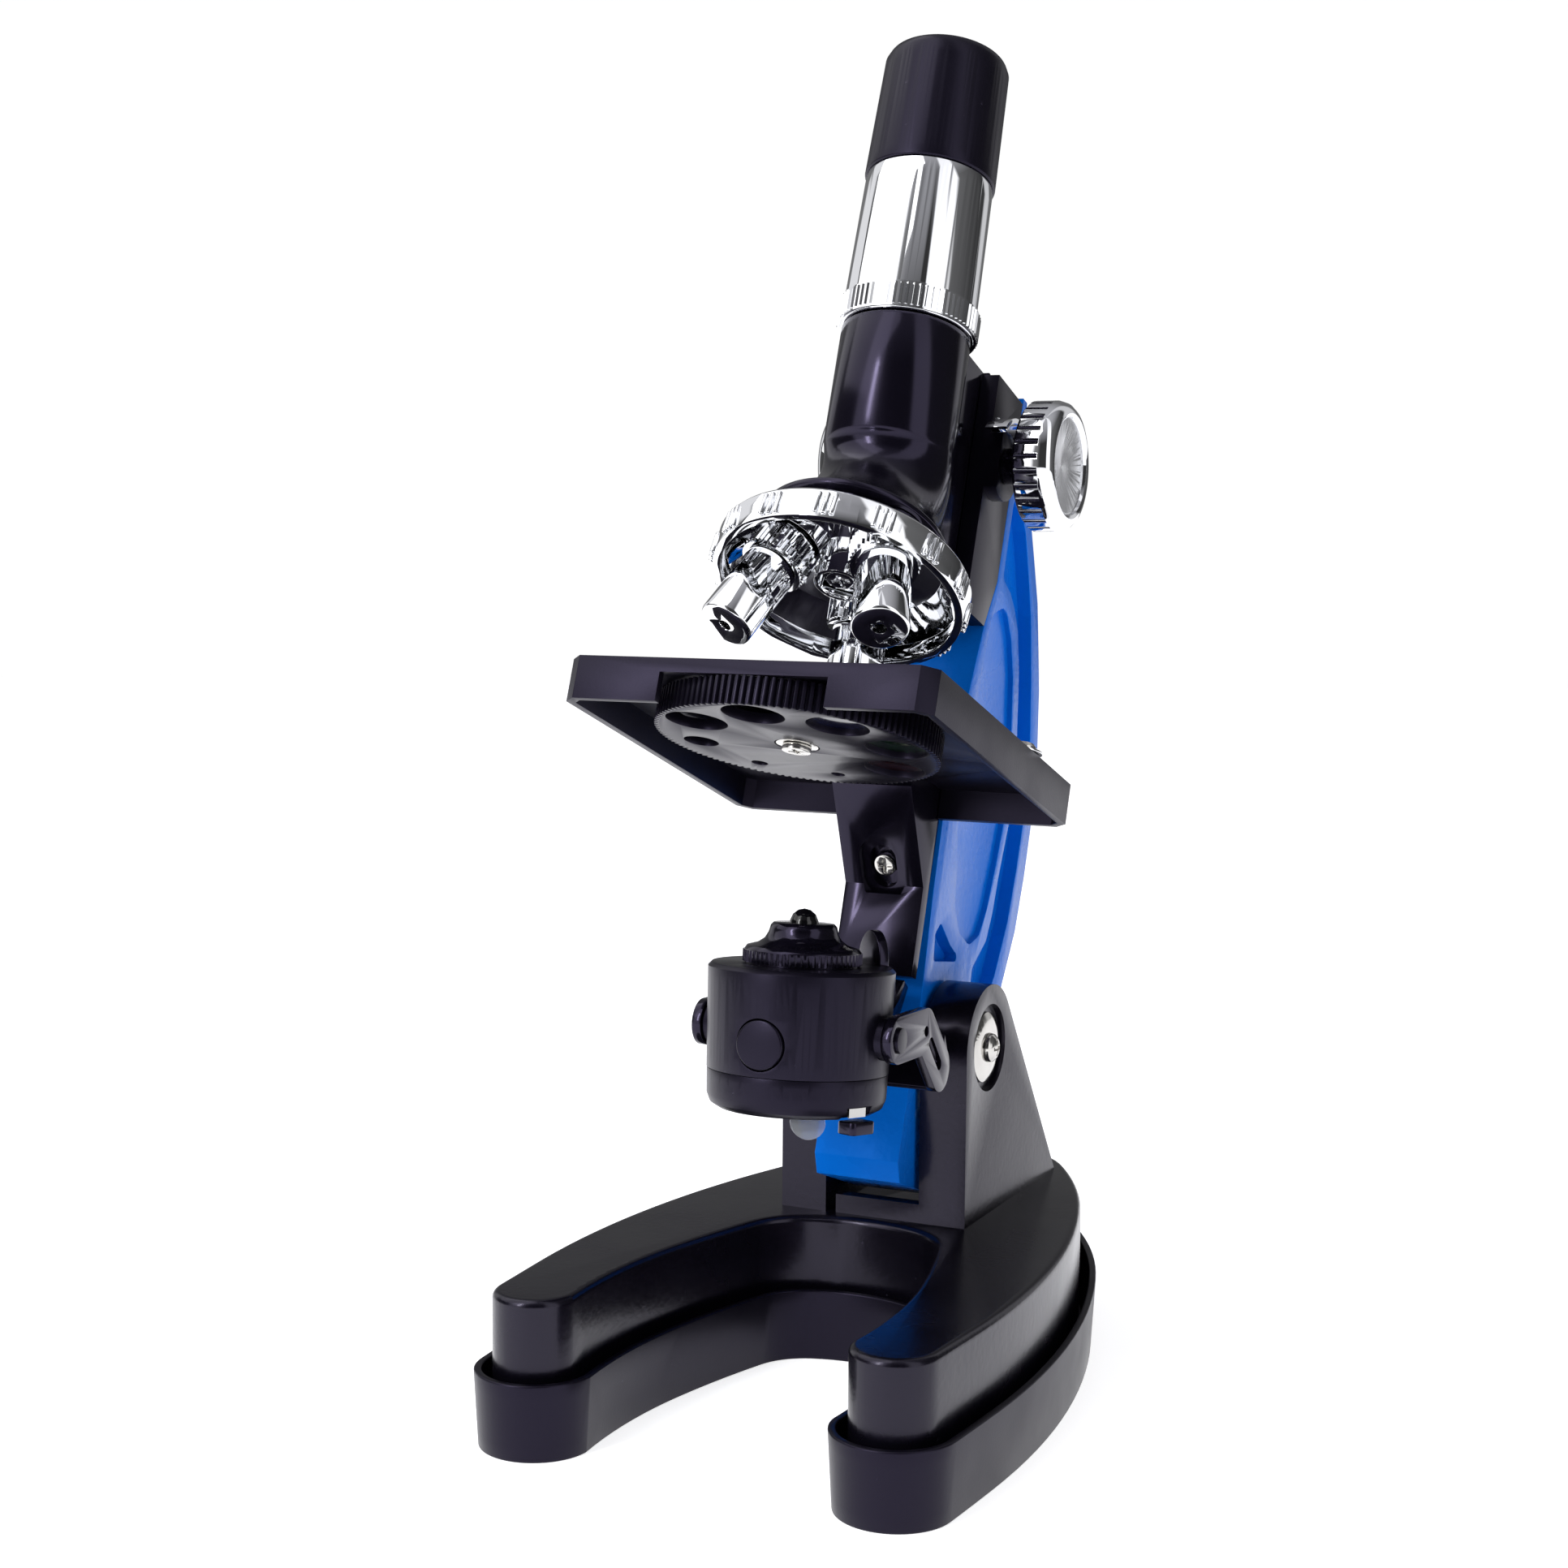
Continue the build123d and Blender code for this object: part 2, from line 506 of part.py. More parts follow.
def draw_tube():
    """Plated eyepiece tube: a wide grip part above a sleeve that slides in the body tube."""
    outline = [(10.6, 121.0), (SLEEVE_R, 121.0), (SLEEVE_R, 148.0), (14.9, 148.0), (14.3, 184.4),
               (12.6, 184.4), (12.6, 150.0), (10.6, 150.0)]
    return arm_frame * Pos(0, AXIS_Y, 0) * turned(outline)


def knurled_ring():
    """Knurled plated ring at the foot of the eyepiece tube."""
    body = ring(15.5, 14.92, 6.0, 148.2)
    ridge = Pos(15.5, 0, 151.2) * Rot(0, 0, 45) * Box(0.55, 0.55, 5.0)
    return arm_frame * Pos(0, AXIS_Y, 0) * (body + around(ridge, 72))


def eyepiece_cup():
    """Black eyepiece head with a rounded rim and a sunk top."""
    outline = [(12.55, 178.0), (12.55, 184.6), (14.75, 184.6), (14.1, 212.8), (13.3, 214.6), (12.0, 215.2),
               (8.4, 213.6), (5.2, 212.0), (5.2, 209.8), (11.2, 209.8), (11.2, 178.0)]
    return arm_frame * Pos(0, AXIS_Y, 0) * turned(outline)


def biconvex(radius, edge, bulge, z):
    """A lens with both faces bulging from a plain edge."""
    points = [(0, -edge / 2 - bulge), (radius * 0.6, -edge / 2 - bulge * 0.64), (radius, -edge / 2),
              (radius, edge / 2), (radius * 0.6, edge / 2 + bulge * 0.64), (0, edge / 2 + bulge)]
    return Pos(0, AXIS_Y, z) * turned(points)


def eye_lens():
    return arm_frame * biconvex(11.15, 1.2, 1.0, 208.0)


def field_lens():
    return arm_frame * biconvex(11.15, 1.4, 1.2, 181.0)


# ---------------------------------------------------------------- turret and objectives
DISH_R = 27.6
DISH_TOP = -36.9        # back face of the dish, from the apex along the turret's axis
OBJECTIVES = {"low": 69.0, "high": 69.0, "mid": 67.0}   # apex to lens face, by turret place
OBJECTIVE_TURN = {"mid": 0.0, "low": 120.0, "high": 240.0}


def objective_frame(name):
    """Local frame of one objective: its axis is local Z, the apex is its origin."""
    return turret_frame * Rot(0, 0, OBJECTIVE_TURN[name]) * Rot(TURRET_TILT, 0, 0)


def turret_disc():
    """Pressed and plated dish with three seats for the objectives and a hub for its screw."""
    bore = 1.6 + RUN
    outline = [(bore, DISH_TOP), (17.8, DISH_TOP), (DISH_R - 0.4, -43.4), (DISH_R, -44.0), (DISH_R - 0.5, -50.2),
               (25.4, -50.2), (25.6, -45.4), (20.4, -39.9), (5.6, -39.3), (5.6, -48.0), (4.7, -48.0), (4.7, -44.6),
               (bore, -44.6)]
    dish = turned(outline)
    seats = [Rot(0, 0, turn) * Rot(TURRET_TILT, 0, 0) for turn in OBJECTIVE_TURN.values()]
    for seat in seats:
        dish -= seat * Pos(0, 0, -38) * Cylinder(5.4, 12)
    for seat in seats:
        collar = seat * Pos(0, 0, -39.6) * (Cylinder(7.6, 7.6) - Cylinder(4.9, 20))
        dish += collar - Pos(0, 0, DISH_TOP + 20) * Cylinder(30, 40) - Pos(0, 0, -40) * Cylinder(5.2, 40)
    return turret_frame * dish


def turret_screw():
    """Shoulder screw that the turret turns on."""
    screw = Pos(0, 0, -45.95) * Cylinder(3.1, 1.9) + Pos(0, 0, -40.8) * Cylinder(1.6, 8.4)
    screw += Pos(0, 0, -33.0) * Cylinder(1.5, 8.0)
    screw -= Pos(0, 0, -46.9) * (Box(4.2, 0.9, 1.2) + Box(0.9, 4.2, 1.2))
    return turret_frame * screw


def turret_washer():
    """Curved spring washer under the turret screw's head."""
    return turret_frame * ring(4.4, 1.75, 0.3, -44.95)


def detent_ball():
    """Ball that clicks into the turret's back at each objective."""
    return turret_frame * Pos(0, DETENT_R, DISH_TOP + 1.25) * Sphere(1.2)


def detent_spring():
    """Small coil spring behind the detent ball, as a plain sleeve."""
    return turret_frame * Pos(0, DETENT_R, 0) * ring(1.15, 0.7, 2.0, DISH_TOP + 2.5)


def objective_collar(name):
    """Knurled collar with the thread that screws into the turret."""
    body = ring(7.1, 4.2, 6.6, -51.0) + ring(4.85, 4.2, 3.8, -44.5)
    ridge = Pos(7.1, 0, -47.6) * Rot(0, 0, 45) * Box(0.6, 0.6, 5.2)
    return objective_frame(name) * (body + around(ridge, 40))


def objective_barrel(name):
    """Smooth plated barrel with a flat nose and a small lens hole."""
    reach = OBJECTIVES[name]
    nose = turned([(1.3, -reach), (5.4, -reach), (6.0, -reach + 0.6), (6.0, -51.1), (4.1, -51.1), (4.1, -46.0),
                   (3.0, -46.0), (3.0, -reach + 2.2), (1.3, -reach + 1.2)])
    return objective_frame(name) * nose


def objective_lens(name):
    """Front lens set just inside the nose."""
    reach = OBJECTIVES[name]
    return objective_frame(name) * Pos(0, 0, -reach + 3.2) * Cylinder(2.95, 1.6)


# ---------------------------------------------------------------- lamp
LAMP_R = 19.5
LAMP_TOP = 95.0
LAMP_SEAM = 73.3
LAMP_BOTTOM = 65.2
LAMP_LEAN = 5.0         # how far the lamp leans back at rest, degrees
BUTTON_Z = LAMP_Z - 1.3
lamp_frame = Location((0, LAMP_Y, LAMP_Z), (-LAMP_LEAN, 0, 0)) * Pos(0, -LAMP_Y, -LAMP_Z)
CHEEK_X = (20.6, 22.6)


def lamp_body():
    """Lamp cylinder with a hole for its bezel, a hollow inside and two trunnions."""
    outline = [(0, LAMP_TOP), (LAMP_R - 0.8, LAMP_TOP), (LAMP_R, LAMP_TOP - 0.8), (LAMP_R - 0.6, LAMP_SEAM + 0.05),
               (LAMP_R - 3, LAMP_SEAM + 0.05), (LAMP_R - 3, LAMP_TOP - 2.4), (0, LAMP_TOP - 2.4)]
    body = turned(outline) - Pos(0, 0, LAMP_TOP) * Cylinder(7.0, 8)
    body -= Pos(0, -LAMP_R + 1.5, BUTTON_Z) * Rot(90, 0, 0) * Cylinder(5.4, 6.0)
    body = Pos(0, LAMP_Y, 0) * body
    for side in (1, -1):
        trunnion = rod_x(2.6, 2.6, LAMP_Y, LAMP_Z, side * 20.6)
        body += trunnion + rod_x(4.4, 0.9, LAMP_Y, LAMP_Z, side * 19.3)
    return lamp_frame * body


def lamp_button():
    """Round push button on the lamp's front."""
    return lamp_frame * Pos(0, LAMP_Y - LAMP_R + 1.4, BUTTON_Z) * Rot(90, 0, 0) * Cylinder(5.1, 2.2)


def lamp_cap():
    """Bottom cap of the lamp, with rounded edge and a recess for the mirror."""
    r = LAMP_R - 0.65
    outline = [(0, LAMP_BOTTOM + 1.6), (14.5, LAMP_BOTTOM + 1.6), (14.5, LAMP_BOTTOM), (r - 2.6, LAMP_BOTTOM),
               (r - 0.9, LAMP_BOTTOM + 1.0), (r - 0.2, LAMP_BOTTOM + 2.8), (r, LAMP_SEAM - 0.05),
               (LAMP_R - 3.2, LAMP_SEAM - 0.05), (LAMP_R - 3.2, LAMP_BOTTOM + 4), (0, LAMP_BOTTOM + 4)]
    notch = Rot(0, 0, SWITCH_TURN) * box(14.6, 22, -3.4, 3.4, LAMP_BOTTOM - 1, LAMP_BOTTOM + 2.4)
    return lamp_frame * Pos(0, LAMP_Y, 0) * (turned(outline) - notch)


SWITCH_TURN = -20.0      # direction of the switch round the lamp, from +X


def lamp_mirror():
    """Flat mirror let into the lamp's underside."""
    return lamp_frame * Pos(0, LAMP_Y, LAMP_BOTTOM + 0.9) * Cylinder(14.3, 1.4)


def mirror_film():
    """Clear film on the mirror with a half-round pull tab."""
    film = Cylinder(14.0, 0.2)
    tab = Pos(14.2, 0, -1.0) * Rot(0, 58, 0) * (Cylinder(3.6, 0.2) - box(-4, -1.2, -4, 4, -1, 1))
    film = film + Rot(0, 0, -55) * tab
    return lamp_frame * Pos(0, LAMP_Y, LAMP_BOTTOM + 0.08) * film


def lamp_bezel():
    """Knurled bezel that screws into the lamp's top and holds the lens."""
    outline = [(3.1, LAMP_TOP - 4), (6.9, LAMP_TOP - 4), (6.9, LAMP_TOP + 0.05), (12.0, LAMP_TOP + 0.05),
               (12.2, LAMP_TOP + 2.9), (11.6, LAMP_TOP + 3.7), (9.4, LAMP_TOP + 4.3), (8.0, LAMP_TOP + 5.3),
               (7.3, LAMP_TOP + 6.6), (6.9, LAMP_TOP + 8.0), (6.3, LAMP_TOP + 8.6), (3.1, LAMP_TOP + 8.6)]
    ridge = Pos(12.1, 0, LAMP_TOP + 1.6) * Rot(0, 0, 45) * Box(0.5, 0.5, 2.4)
    return lamp_frame * Pos(0, LAMP_Y, 0) * (turned(outline) + around(ridge, 60))


def lamp_led():
    """Domed lamp in the bezel."""
    dome = turned([(0, LAMP_TOP + 4.0), (3.0, LAMP_TOP + 4.0), (3.0, LAMP_TOP + 9.0), (2.4, LAMP_TOP + 10.4),
                   (1.3, LAMP_TOP + 11.3), (0, LAMP_TOP + 11.6)])
    return lamp_frame * Pos(0, LAMP_Y, 0) * dome


def coin_cells():
    """Two stacked button cells in the bottom of the lamp."""
    return [lamp_frame * Pos(0, LAMP_Y, LAMP_BOTTOM + 5.8 + 3.3 * i) * Cylinder(10.0, 3.2) for i in range(2)]


def lamp_board():
    """Small round circuit board above the cells."""
    return lamp_frame * Pos(0, LAMP_Y, LAMP_SEAM + 4.4) * Cylinder(15.0, 1.2)


def battery_contact():
    """Bent strip contact that shows at the switch slot."""
    strip = box(15.0, 17.6, -2.4, 2.4, 1.9, 2.3) + box(17.2, 17.6, -2.4, 2.4, 0.4, 2.3)
    return lamp_frame * Pos(0, LAMP_Y, LAMP_BOTTOM) * Rot(0, 0, SWITCH_TURN) * strip


def lamp_switch():
    """Slide switch lever under the lamp's right edge."""
    lever = box(15.0, 19.8, -3.4, 3.4, -2.9, -0.3)
    lever = fillet(lever.edges().filter_by(Axis.Z), 1.2)
    return lamp_frame * Pos(0, LAMP_Y, LAMP_BOTTOM) * Rot(0, 0, SWITCH_TURN) * lever


def lamp_yoke():
    """Fork on the gusset: two cheeks with trunnion holes and a cross wall behind the lamp."""
    x0, x1 = CHEEK_X
    knee, heel = (-39.0, 80.6), (-30.5, 71.0)
    yoke = side_profile([(-31.5, 67), (-28.5, 78), (-25.5, 70.5), (-30.5, 66)], x1)
    for side in (1, -1):
        x, half = side * (x0 + x1) / 2, (x1 - x0) / 2
        yoke += strut((LAMP_Y, LAMP_Z), knee, 4.9, x, half)
        yoke += strut(knee, heel, 4.9, x, half)
    yoke += side_profile([(-31.0, 70), (-28.2, 79), (-16.2, 86.6), (-13.9, 84.6), (-26, 70.5)], 8.0)
    for side in (1, -1):
        x = side * (x0 + x1) / 2
        yoke -= rod_x(2.6 + RUN, 3, LAMP_Y, LAMP_Z, x)
        yoke -= rod_x(1.1, 3, *knee, x)
        yoke -= strut((-36.2, 77.6), (-31.6, 72.2), 1.2, x, 3)
    return yoke


def strut(start, end, radius, x, half_width):
    """A flat bar with round ends in the YZ plane, between two (y, z) points."""
    length = ((end[0] - start[0]) ** 2 + (end[1] - start[1]) ** 2) ** 0.5
    angle = degrees(atan2(end[1] - start[1], end[0] - start[0]))
    middle = Location(((start[0] + end[0]) / 2, (start[1] + end[1]) / 2), angle)
    face = middle * SlotCenterToCenter(length, 2 * radius)
    return Pos(x, 0, 0) * extrude(Plane.YZ * face, half_width, both=True)


# ---------------------------------------------------------------- write one file per piece
def write(name, shape):
    """Write one piece, or a group of separate solids, as a STEP file."""
    if isinstance(shape, list):
        shape = Compound(children=[s for piece in shape for s in piece.solids()])
    export_step(shape, f"parts/{name}.step")


def pieces():
    """Every piece by its name."""
    made = {
        "base_casting": base_casting(), "base_tray": base_tray(), "base_screws": base_screws(),
        "pivot_bush": pivot_bush(), "pivot_washers": pivot_washers(), "pivot_screws": pivot_screws(),
        "friction_washers": friction_washers(), "limb": limb(), "stage_bracket": stage_bracket(),
        "bracket_screw": bracket_screw(), "stage": stage(), "stage_screws": stage_screws(),
        "filter_wheel": filter_wheel(), "wheel_screw": wheel_screw(), "wheel_washer": wheel_washer(),
        "clip_left": stage_clip(-1), "clip_right": stage_clip(1), "clip_studs": clip_studs(),
        "focus_housing": focus_housing(), "housing_screws": housing_screws(), "shaft_bushes": shaft_bushes(),
        "shaft_straps": shaft_straps(), "focus_pinion": focus_pinion(), "focus_shaft": focus_shaft(),
        "focus_knob_left": focus_knob(-1), "focus_knob_right": focus_knob(1), "focus_rack": focus_rack(),
        "tube_slide": tube_slide(), "body_tube": body_tube(), "draw_tube": draw_tube(),
        "knurled_ring": knurled_ring(), "eyepiece_cup": eyepiece_cup(), "eye_lens": eye_lens(),
        "field_lens": field_lens(), "turret_disc": turret_disc(), "turret_screw": turret_screw(),
        "turret_washer": turret_washer(), "detent_ball": detent_ball(), "detent_spring": detent_spring(),
        "lamp_body": lamp_body(), "lamp_button": lamp_button(), "lamp_cap": lamp_cap(),
        "lamp_mirror": lamp_mirror(), "mirror_film": mirror_film(), "lamp_bezel": lamp_bezel(),
        "lamp_led": lamp_led(), "coin_cells": coin_cells(), "lamp_board": lamp_board(),
        "battery_contact": battery_contact(), "lamp_switch": lamp_switch(), "lamp_yoke": lamp_yoke(),
    }
    for name, place in FILTER_STATIONS.items():
        made[name] = colour_filter(place)
    for name in OBJECTIVES:
        made[f"objective_{name}_barrel"] = objective_barrel(name)
    made["objective_collars"] = [objective_collar(name) for name in OBJECTIVES]
    made["objective_lenses"] = [objective_lens(name) for name in OBJECTIVES]
    return made


os.makedirs("parts", exist_ok=True)
for piece_name, piece_shape in pieces().items():
    write(piece_name, piece_shape)
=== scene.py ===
import json
from math import pi, radians

import bpy
from mathutils import Matrix, Vector

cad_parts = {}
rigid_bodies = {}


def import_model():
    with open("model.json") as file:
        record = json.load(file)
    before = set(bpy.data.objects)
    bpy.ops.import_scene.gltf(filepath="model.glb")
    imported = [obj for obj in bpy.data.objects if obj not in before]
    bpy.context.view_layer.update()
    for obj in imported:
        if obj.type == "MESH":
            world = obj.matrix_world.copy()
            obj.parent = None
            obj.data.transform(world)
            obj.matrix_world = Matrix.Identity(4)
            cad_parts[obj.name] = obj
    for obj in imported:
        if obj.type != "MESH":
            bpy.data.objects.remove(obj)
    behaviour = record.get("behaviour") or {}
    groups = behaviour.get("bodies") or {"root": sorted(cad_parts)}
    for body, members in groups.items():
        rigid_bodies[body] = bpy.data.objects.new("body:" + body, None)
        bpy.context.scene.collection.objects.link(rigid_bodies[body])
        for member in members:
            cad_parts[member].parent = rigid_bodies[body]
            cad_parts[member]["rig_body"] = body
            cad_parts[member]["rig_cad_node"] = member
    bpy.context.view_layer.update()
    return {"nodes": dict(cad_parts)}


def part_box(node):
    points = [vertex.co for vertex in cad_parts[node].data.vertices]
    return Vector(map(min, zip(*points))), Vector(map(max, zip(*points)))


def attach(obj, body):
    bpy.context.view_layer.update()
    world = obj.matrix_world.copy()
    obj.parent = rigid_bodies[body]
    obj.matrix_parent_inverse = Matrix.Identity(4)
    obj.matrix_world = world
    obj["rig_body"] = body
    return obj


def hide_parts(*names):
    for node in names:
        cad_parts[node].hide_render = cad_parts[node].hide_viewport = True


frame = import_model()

# All lengths are in metres. The origin is on the table below the tilt pivot, +Z is up, and the
# open end of the horseshoe base faces -Y.


# ---------------------------------------------------------------- moulded tray of the base
# The shallow tray that the casting stands in: injection moulded ABS, satin black, with a
# rounded rim and slightly drafted walls. Three screws from below hold it.
def linear(hex_code):
    """sRGB hex to the linear colour that shaders take."""
    parts = [int(hex_code[i:i + 2], 16) / 255 for i in (1, 3, 5)]
    return [c / 12.92 if c <= 0.04045 else ((c + 0.055) / 1.055) ** 2.4 for c in parts] + [1.0]


def add(tree, kind, settings=(), links=()):
    """Add a node, set its sockets and properties, and link (output socket -> input name) pairs."""
    node = tree.nodes.new(kind)
    for key, value in dict(settings).items():
        if key in node.inputs:
            node.inputs[key].default_value = value
        else:
            setattr(node, key, value)
    for source, target in links:
        tree.links.new(source, node.inputs[target])
    return node


def surface(name, base, dark, metallic=0.0, rough=(0.3, 0.4), grain=0.0008, depth=0.00002, patch=0.02,
            coat=0.0, coat_rough=0.05, ior=1.5, sheen_hue="#ffffff", flecks=None):
    """A solid finish: two close colours in soft patches, uneven gloss and a fine grained relief.
    grain and patch are sizes on the real piece in metres; depth is the height of the grain.
    sheen_hue tints the gloss, and flecks is the colour of small scuffs left by handling."""
    material = bpy.data.materials.new(name)
    material.use_nodes = True
    tree = material.node_tree
    shader = tree.nodes["Principled BSDF"]
    shader.inputs["Metallic"].default_value = metallic
    shader.inputs["IOR"].default_value = ior
    shader.inputs["Specular Tint"].default_value = linear(sheen_hue)
    shader.inputs["Coat Weight"].default_value = coat
    shader.inputs["Coat Roughness"].default_value = coat_rough
    place = add(tree, "ShaderNodeTexCoord").outputs["Object"]
    blotch = add(tree, "ShaderNodeTexNoise", {"Scale": 1 / patch, "Detail": 3.0}, [(place, "Vector")])
    tone = add(tree, "ShaderNodeMix", {"data_type": "RGBA"}, [(blotch.outputs["Fac"], "Factor")])
    tone.inputs[6].default_value = linear(dark)
    tone.inputs[7].default_value = linear(base)
    shade = tone.outputs[2]
    if flecks:
        scuff = add(tree, "ShaderNodeTexNoise", {"Scale": 1 / 0.0028, "Detail": 5.0, "Roughness": 0.7},
                    [(place, "Vector")])
        only_worst = add(tree, "ShaderNodeMapRange", {"From Min": 0.69, "From Max": 0.73, "To Max": 0.6},
                         [(scuff.outputs["Fac"], "Value")])
        worn = add(tree, "ShaderNodeMix", {"data_type": "RGBA"}, [(only_worst.outputs["Result"], "Factor")])
        tree.links.new(shade, worn.inputs[6])
        worn.inputs[7].default_value = linear(flecks)
        shade = worn.outputs[2]
    tree.links.new(shade, shader.inputs["Base Color"])
    speck = add(tree, "ShaderNodeTexNoise", {"Scale": 1 / grain, "Detail": 4.0}, [(place, "Vector")])
    spread = {"From Min": 0.3, "From Max": 0.7, "To Min": rough[0], "To Max": rough[1]}
    gloss = add(tree, "ShaderNodeMapRange", spread,
                [(blotch.outputs["Fac"], "Value")])
    tree.links.new(gloss.outputs["Result"], shader.inputs["Roughness"])
    relief = add(tree, "ShaderNodeBump", {"Strength": 1.0, "Distance": depth},
                 [(speck.outputs["Fac"], "Height")])
    tree.links.new(relief.outputs["Normal"], shader.inputs["Normal"])
    return material


def softened(node, width=0.0004, segments=2, angle=32, merge=1e-6):
    """A copy of a CAD node with its triangles joined up, its flat faces cleaned and its edges rounded."""
    bpy.ops.object.select_all(action="DESELECT")
    source = frame["nodes"][node]
    piece = source.copy()
    piece.data = source.data.copy()
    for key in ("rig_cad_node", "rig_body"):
        if key in piece:
            del piece[key]
    piece.parent = None
    piece.name = node + "_shape"
    bpy.context.scene.collection.objects.link(piece)
    piece.select_set(True)
    bpy.context.view_layer.objects.active = piece
    if piece.data.has_custom_normals:
        bpy.ops.mesh.customdata_custom_splitnormals_clear()
    bpy.ops.object.mode_set(mode="EDIT")
    bpy.ops.mesh.select_all(action="SELECT")
    bpy.ops.mesh.remove_doubles(threshold=merge)
    bpy.ops.mesh.dissolve_limited(angle_limit=radians(0.3))
    bpy.ops.object.mode_set(mode="OBJECT")
    if width:
        round_off = piece.modifiers.new("edges", "BEVEL")
        round_off.width = width
        round_off.segments = segments
        round_off.limit_method = "ANGLE"
        round_off.angle_limit = radians(angle)
        round_off.use_clamp_overlap = True
        bpy.ops.object.modifier_apply(modifier="edges")
    bpy.ops.object.shade_smooth_by_angle(angle=radians(angle))
    return piece


def fit(piece, material, body, *nodes):
    """Give a finished piece its material, ride it on its body, and let it stand for its CAD nodes."""
    piece.data.materials.clear()
    piece.data.materials.append(material)
    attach(piece, body)
    if nodes:
        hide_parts(*nodes)
    return piece


def repaint(material, *nodes):
    """Give CAD nodes that stay as they are a finished material."""
    for node in nodes:
        mesh = frame["nodes"][node].data
        mesh.materials.clear()
        mesh.materials.append(material)


# Satin mould finish: a soft, even gloss with a violet cast and small scuffs from handling.
satin_abs = surface("black_abs_satin", "#0c0a13", "#08070d", rough=(0.28, 0.38), ior=1.36, grain=0.0006,
                    depth=0.00001, sheen_hue="#cfc4f4", flecks="#3a3745")
fit(softened("base_tray", 0.0005, 3), satin_abs, "base", "base_tray")


# ---------------------------------------------------------------- cast base
# One hollow iron casting: horseshoe, two ears and the low wall between them. Shot-blasted and
# sprayed with thick satin black enamel, so the edges are soft and the faces slightly pebbled.
# Thick enamel gives a broad soft gloss, a slightly pebbled skin and a few pale chips.
cast_enamel = surface("black_enamel_on_casting", "#0c0a13", "#07060b", rough=(0.2, 0.3), ior=1.36, grain=0.0016,
                      depth=0.00005, coat=0.25, coat_rough=0.18, sheen_hue="#cfc4f4", flecks="#45424f")
fit(softened("base_casting", 0.0009, 3), cast_enamel, "base", "base_casting")

# Zinc plating on steel: a bright grey metal with a little haze.
plated_steel = surface("zinc_plated_steel", "#c9c8c6", "#b4b3b2", metallic=1.0, rough=(0.16, 0.3), grain=0.0004,
                       depth=0.000006, patch=0.003)
repaint(plated_steel, "base_screws", "pivot_bush")


# ---------------------------------------------------------------- tilt pivot
# Domed nickel-plated washers and round-head screws in the ears' recesses; fibre washers
# between the ears and the limb give the friction.
# Nickel plating: a warm bright metal, a touch softer than chrome.
nickel = surface("nickel_plated_washer", "#d6d4cf", "#bdbbb8", metallic=1.0, rough=(0.1, 0.2), grain=0.0005,
                 depth=0.000006, patch=0.004)
fit(softened("pivot_washers", 0.0001), nickel, "base", "pivot_washers")
fit(softened("pivot_screws", 0.0001), nickel, "base", "pivot_screws")
# Pressed fibre: dull brown with a short paper-like grain.
fibre = surface("pressed_fibre", "#5a3a28", "#432a1e", rough=(0.7, 0.85), grain=0.0003)
repaint(fibre, "friction_washers")


# ---------------------------------------------------------------- limb
# The C-shaped limb is one die casting in glossy royal blue paint, with an even, fine
# orange-peel texture all over.
# Sprayed gloss paint: saturated blue, its gloss blue-tinted, pebbled at about 1.7 mm.
blue_paint = surface("royal_blue_gloss_paint", "#0470dc", "#0361c6", rough=(0.2, 0.34), ior=1.38, grain=0.0017,
                     depth=0.00011, sheen_hue="#3f8df5")
fit(softened("limb", 0.0007, 3), blue_paint, "arm", "limb")


# ---------------------------------------------------------------- gusset under the stage
# Black moulded gusset screwed to the limb: a smooth, fairly glossy part with an oval recess,
# a slot and a cross-head screw.
# Polished moulding: near black with sharp highlights and hardly any texture.
gloss_abs = surface("black_abs_gloss", "#0c0a13", "#08070d", rough=(0.12, 0.19), ior=1.46, grain=0.003,
                   depth=0.000006, sheen_hue="#cfc4f4")
fit(softened("stage_bracket", 0.0004, 2), gloss_abs, "arm", "stage_bracket")
fit(softened("bracket_screw", 0.0001), nickel, "arm", "bracket_screw")


# ---------------------------------------------------------------- stage
# A box moulded open underneath with a notch for the wheel's rim. Fine spark-eroded texture
# outside, so it looks matt.
# Spark-eroded moulding: near black, with a wide dull sheen and a fine 0.5 mm grain.
matt_abs = surface("black_abs_textured", "#0f0d16", "#0a090f", rough=(0.34, 0.44), ior=1.36, grain=0.0005,
                   depth=0.00002, sheen_hue="#cfc4f4")
fit(softened("stage", 0.0004, 2), matt_abs, "arm", "stage")
repaint(nickel, "stage_screws", "clip_studs")

# ---------------------------------------------------------------- filter wheel
# Moulded wheel with a milled rim, eight stations and three tinted discs, on a shoulder screw
# with a thin washer.
fit(softened("filter_wheel", 0.0002, 2), satin_abs, "wheel", "filter_wheel")
fit(softened("wheel_screw", 0.0001), nickel, "arm", "wheel_screw")
fit(softened("wheel_washer", 0.00005), nickel, "arm", "wheel_washer")


def tinted(name, colour):
    """Clear tinted acetate, slightly scuffed."""
    material = surface(name, colour, colour, rough=(0.05, 0.12), grain=0.001, depth=0.000002)
    shader = material.node_tree.nodes["Principled BSDF"]
    shader.inputs["Transmission Weight"].default_value = 0.85
    return material


repaint(tinted("blue_acetate", "#141c46"), "blue_filter")
repaint(tinted("green_acetate", "#12361a"), "green_filter")
repaint(tinted("red_acetate", "#36100f"), "red_filter")

